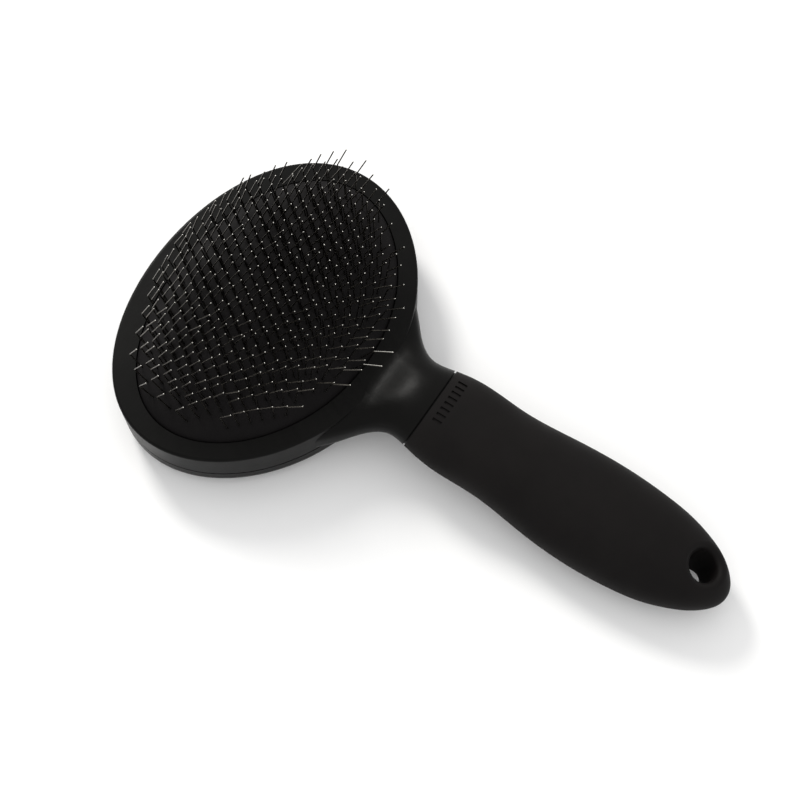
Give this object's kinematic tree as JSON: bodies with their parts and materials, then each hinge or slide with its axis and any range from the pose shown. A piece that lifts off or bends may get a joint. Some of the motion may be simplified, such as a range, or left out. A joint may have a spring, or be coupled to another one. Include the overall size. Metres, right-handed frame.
{
  "type": "slicker brush",
  "caption": "Wide oval-headed slicker brush with fine bent wire pins on a domed rubber pad, a soft-grip handle and a hanging hole.",
  "frame": {"origin": "centre of the head's flat back, which the brush lies on with its pins up", "axes": "+X along the handle from the head to the hanging hole; +Z out of the pad, the way the pins point; Y across the head"},
  "size_m": [0.2038, 0.1134, 0.0407],
  "materials": {
    "shell_plastic": "fine satin texture",
    "grip_rubber": "matte soft-touch",
    "pad_rubber": "matte",
    "pin_steel": "drawn bright wire",
    "foundation_cloth": "woven cloth faced with rubber",
    "foam": "open sponge",
    "plate_plastic": "plain moulded sheet"
  },
  "bodies": {
    "brush_body": {"front_shell": "shell_plastic", "rear_shell": "shell_plastic", "soft_grip": "grip_rubber", "backing_plate": "plate_plastic", "foam_layer": "foam"},
    "pin_bed": {"rubber_cushion": "pad_rubber", "wire_foundation": "foundation_cloth", "pin_row_01": "pin_steel", "pin_row_02": "pin_steel", "pin_row_03": "pin_steel", "pin_row_04": "pin_steel", "pin_row_05": "pin_steel", "pin_row_06": "pin_steel", "pin_row_07": "pin_steel", "pin_row_08": "pin_steel", "pin_row_09": "pin_steel", "pin_row_10": "pin_steel", "pin_row_11": "pin_steel", "pin_row_12": "pin_steel", "pin_row_13": "pin_steel", "pin_row_14": "pin_steel", "pin_row_15": "pin_steel", "pin_row_16": "pin_steel", "pin_row_17": "pin_steel", "pin_row_18": "pin_steel", "pin_row_19": "pin_steel", "pin_row_20": "pin_steel", "pin_row_21": "pin_steel", "pin_row_22": "pin_steel", "pin_row_23": "pin_steel", "pin_row_24": "pin_steel", "pin_row_25": "pin_steel", "pin_row_26": "pin_steel", "pin_row_27": "pin_steel", "pin_row_28": "pin_steel", "pin_row_29": "pin_steel"}
  },
  "joints": [
    {"name": "pad_give", "type": "slide", "parent": "brush_body", "child": "pin_bed", "axis": [0, 0, 1], "range_m": [-0.0025, 0], "stiffness_N_per_m": 4000, "springref_m": 0.0005, "deforming": ["foam_layer"]}
  ]
}
